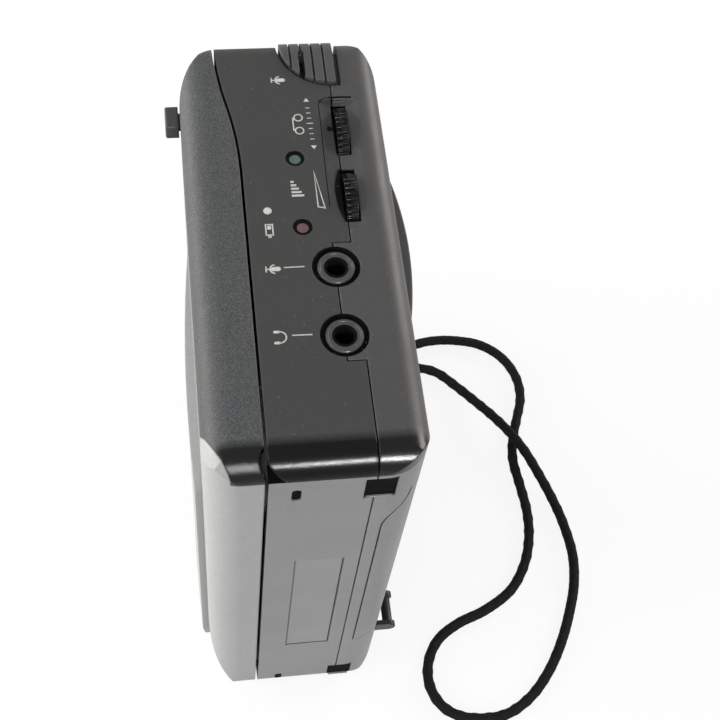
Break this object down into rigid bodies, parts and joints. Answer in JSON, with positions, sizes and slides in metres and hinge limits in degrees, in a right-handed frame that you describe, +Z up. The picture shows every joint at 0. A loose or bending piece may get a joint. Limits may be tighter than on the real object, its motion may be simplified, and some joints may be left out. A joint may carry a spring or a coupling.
{
  "type": "dictation recorder",
  "caption": "Pocket cassette dictation recorder standing upright, with a hinged cassette door, sprung side keys, thumbwheels, plug sockets, a battery door and a wrist strap.",
  "frame": {"origin": "middle of the flat base, centred on the width and thickness of the case", "axes": "+Z up with the control side on top, +Y from the cassette door to the rear, +X to the right seen from the cassette door"},
  "size_m": [0.1068, 0.0945, 0.1195],
  "materials": {
    "silver_plastic": "silver paint with a fine grain, satin",
    "panel_plastic": "dark warm grey, smooth matte",
    "band_plastic": "dark grey with a fine light speckle",
    "key_plastic": "dark grey, matte",
    "wheel_plastic": "dark grey, fine knurl",
    "black_plastic": "black, satin",
    "white_plastic": "white, satin",
    "window_plastic": "clear smoke, polished",
    "green_lens": "dull green lens",
    "red_lens": "dull red lens",
    "steel": "plain steel",
    "brass": "turned brass",
    "rubber": "black rubber",
    "board": "green solder mask",
    "cone": "black paper",
    "cell": "plain wrapped can",
    "cord": "braided black cord"
  },
  "bodies": {
    "case": {"centre_case": "silver_plastic", "control_panel": "panel_plastic", "rear_cover": "silver_plastic", "rear_top_cap": "panel_plastic", "hinge_pins": "steel", "chassis_plate": "steel", "chassis_screws": "steel", "capstan_bush": "brass", "motor_body": "steel", "drive_belt": "rubber", "takeup_belt": "rubber", "circuit_board": "board", "board_components": "black_plastic", "volume_pot": "black_plastic", "speed_pot": "black_plastic", "level_lamp": "green_lens", "record_lamp": "red_lens", "mic_jack": "black_plastic", "monitor_jack": "black_plastic", "mic_grille": "panel_plastic", "mic_capsule": "steel", "speaker_grille": "black_plastic", "speaker_frame": "steel", "speaker_magnet": "steel", "speaker_cone": "cone", "battery_cells": "cell", "battery_contacts": "steel", "battery_springs": "steel", "case_screws": "steel", "strap_eyelets": "black_plastic", "strap_end": "black_plastic", "wrist_strap": "cord"},
    "door": {"cassette_door": "silver_plastic", "door_top_band": "band_plastic", "door_window": "window_plastic", "door_springs": "steel"},
    "latch": {"latch_slider": "band_plastic", "latch_hook": "band_plastic"},
    "record_key": {"record_key": "key_plastic"},
    "play_key": {"play_key": "key_plastic"},
    "rewind_key": {"rewind_key": "key_plastic"},
    "forward_key": {"forward_key": "key_plastic"},
    "stop_key": {"stop_key": "key_plastic"},
    "carriage": {"head_carriage": "steel", "record_head": "steel", "erase_head": "black_plastic", "pinch_arm": "steel"},
    "pinch_roller": {"pinch_roller": "rubber"},
    "flywheel": {"flywheel": "brass", "capstan_shaft": "steel"},
    "motor_pulley": {"motor_pulley": "brass"},
    "supply_reel": {"supply_spindle": "white_plastic"},
    "takeup_reel": {"takeup_spindle": "white_plastic"},
    "volume_wheel": {"volume_wheel": "wheel_plastic"},
    "speed_wheel": {"speed_wheel": "wheel_plastic"},
    "battery_door": {"battery_door": "silver_plastic"}
  },
  "joints": [
    {"name": "door_swing", "type": "hinge", "parent": "case", "child": "door", "pos_m": [0.0418, -0.0065, 0.059], "axis": [0, 0, 1], "range_deg": [0, 60]},
    {"name": "latch_slide", "type": "slide", "parent": "door", "child": "latch", "axis": [1, 0, 0], "range_m": [0, 0.0025], "stiffness_N_per_m": 250},
    {"name": "record_press", "type": "slide", "parent": "case", "child": "record_key", "axis": [1, 0, 0], "range_m": [0, 0.003], "stiffness_N_per_m": 250},
    {"name": "carriage_slide", "type": "slide", "parent": "case", "child": "carriage", "axis": [1, 0, 0], "range_m": [0, 0.003], "stiffness_N_per_m": 250},
    {"name": "play_press", "type": "slide", "parent": "case", "child": "play_key", "axis": [1, 0, 0], "range_m": [0, 0.003]},
    {"name": "rewind_press", "type": "slide", "parent": "case", "child": "rewind_key", "axis": [1, 0, 0], "range_m": [0, 0.003], "stiffness_N_per_m": 250},
    {"name": "forward_press", "type": "slide", "parent": "case", "child": "forward_key", "axis": [1, 0, 0], "range_m": [0, 0.003], "stiffness_N_per_m": 250},
    {"name": "stop_press", "type": "slide", "parent": "case", "child": "stop_key", "axis": [1, 0, 0], "range_m": [0, 0.003], "stiffness_N_per_m": 250},
    {"name": "pinch_spin", "type": "hinge", "parent": "carriage", "child": "pinch_roller", "pos_m": [-0.0237, -0.0107, 0.0265], "axis": [0, 1, 0], "continuous": true},
    {"name": "flywheel_spin", "type": "hinge", "parent": "case", "child": "flywheel", "pos_m": [-0.0144, 0, 0.0265], "axis": [0, 1, 0], "continuous": true},
    {"name": "motor_spin", "type": "hinge", "parent": "case", "child": "motor_pulley", "pos_m": [-0.027, 0, 0.06], "axis": [0, 1, 0], "continuous": true},
    {"name": "takeup_spin", "type": "hinge", "parent": "case", "child": "takeup_reel", "pos_m": [0.0122, 0, 0.03875], "axis": [0, 1, 0], "continuous": true},
    {"name": "supply_spin", "type": "hinge", "parent": "case", "child": "supply_reel", "pos_m": [0.0122, 0, 0.08125], "axis": [0, 1, 0], "continuous": true},
    {"name": "volume_turn", "type": "hinge", "parent": "case", "child": "volume_wheel", "pos_m": [-0.0085, 0.0103, 0.1125], "axis": [0, 1, 0], "range_deg": [-140, 140]},
    {"name": "speed_turn", "type": "hinge", "parent": "case", "child": "speed_wheel", "pos_m": [-0.0233, 0.0103, 0.1125], "axis": [0, 1, 0], "range_deg": [-120, 120]},
    {"name": "battery_door_slide", "type": "slide", "parent": "case", "child": "battery_door", "axis": [0, 1, 0], "range_m": [0, 0.025]}
  ],
  "couplings": [
    {"joint": "play_press", "follows": "carriage_slide", "ratio": 1},
    {"joint": "motor_spin", "follows": "flywheel_spin", "ratio": 3.6203},
    {"joint": "takeup_spin", "follows": "flywheel_spin", "ratio": 0.5316}
  ]
}
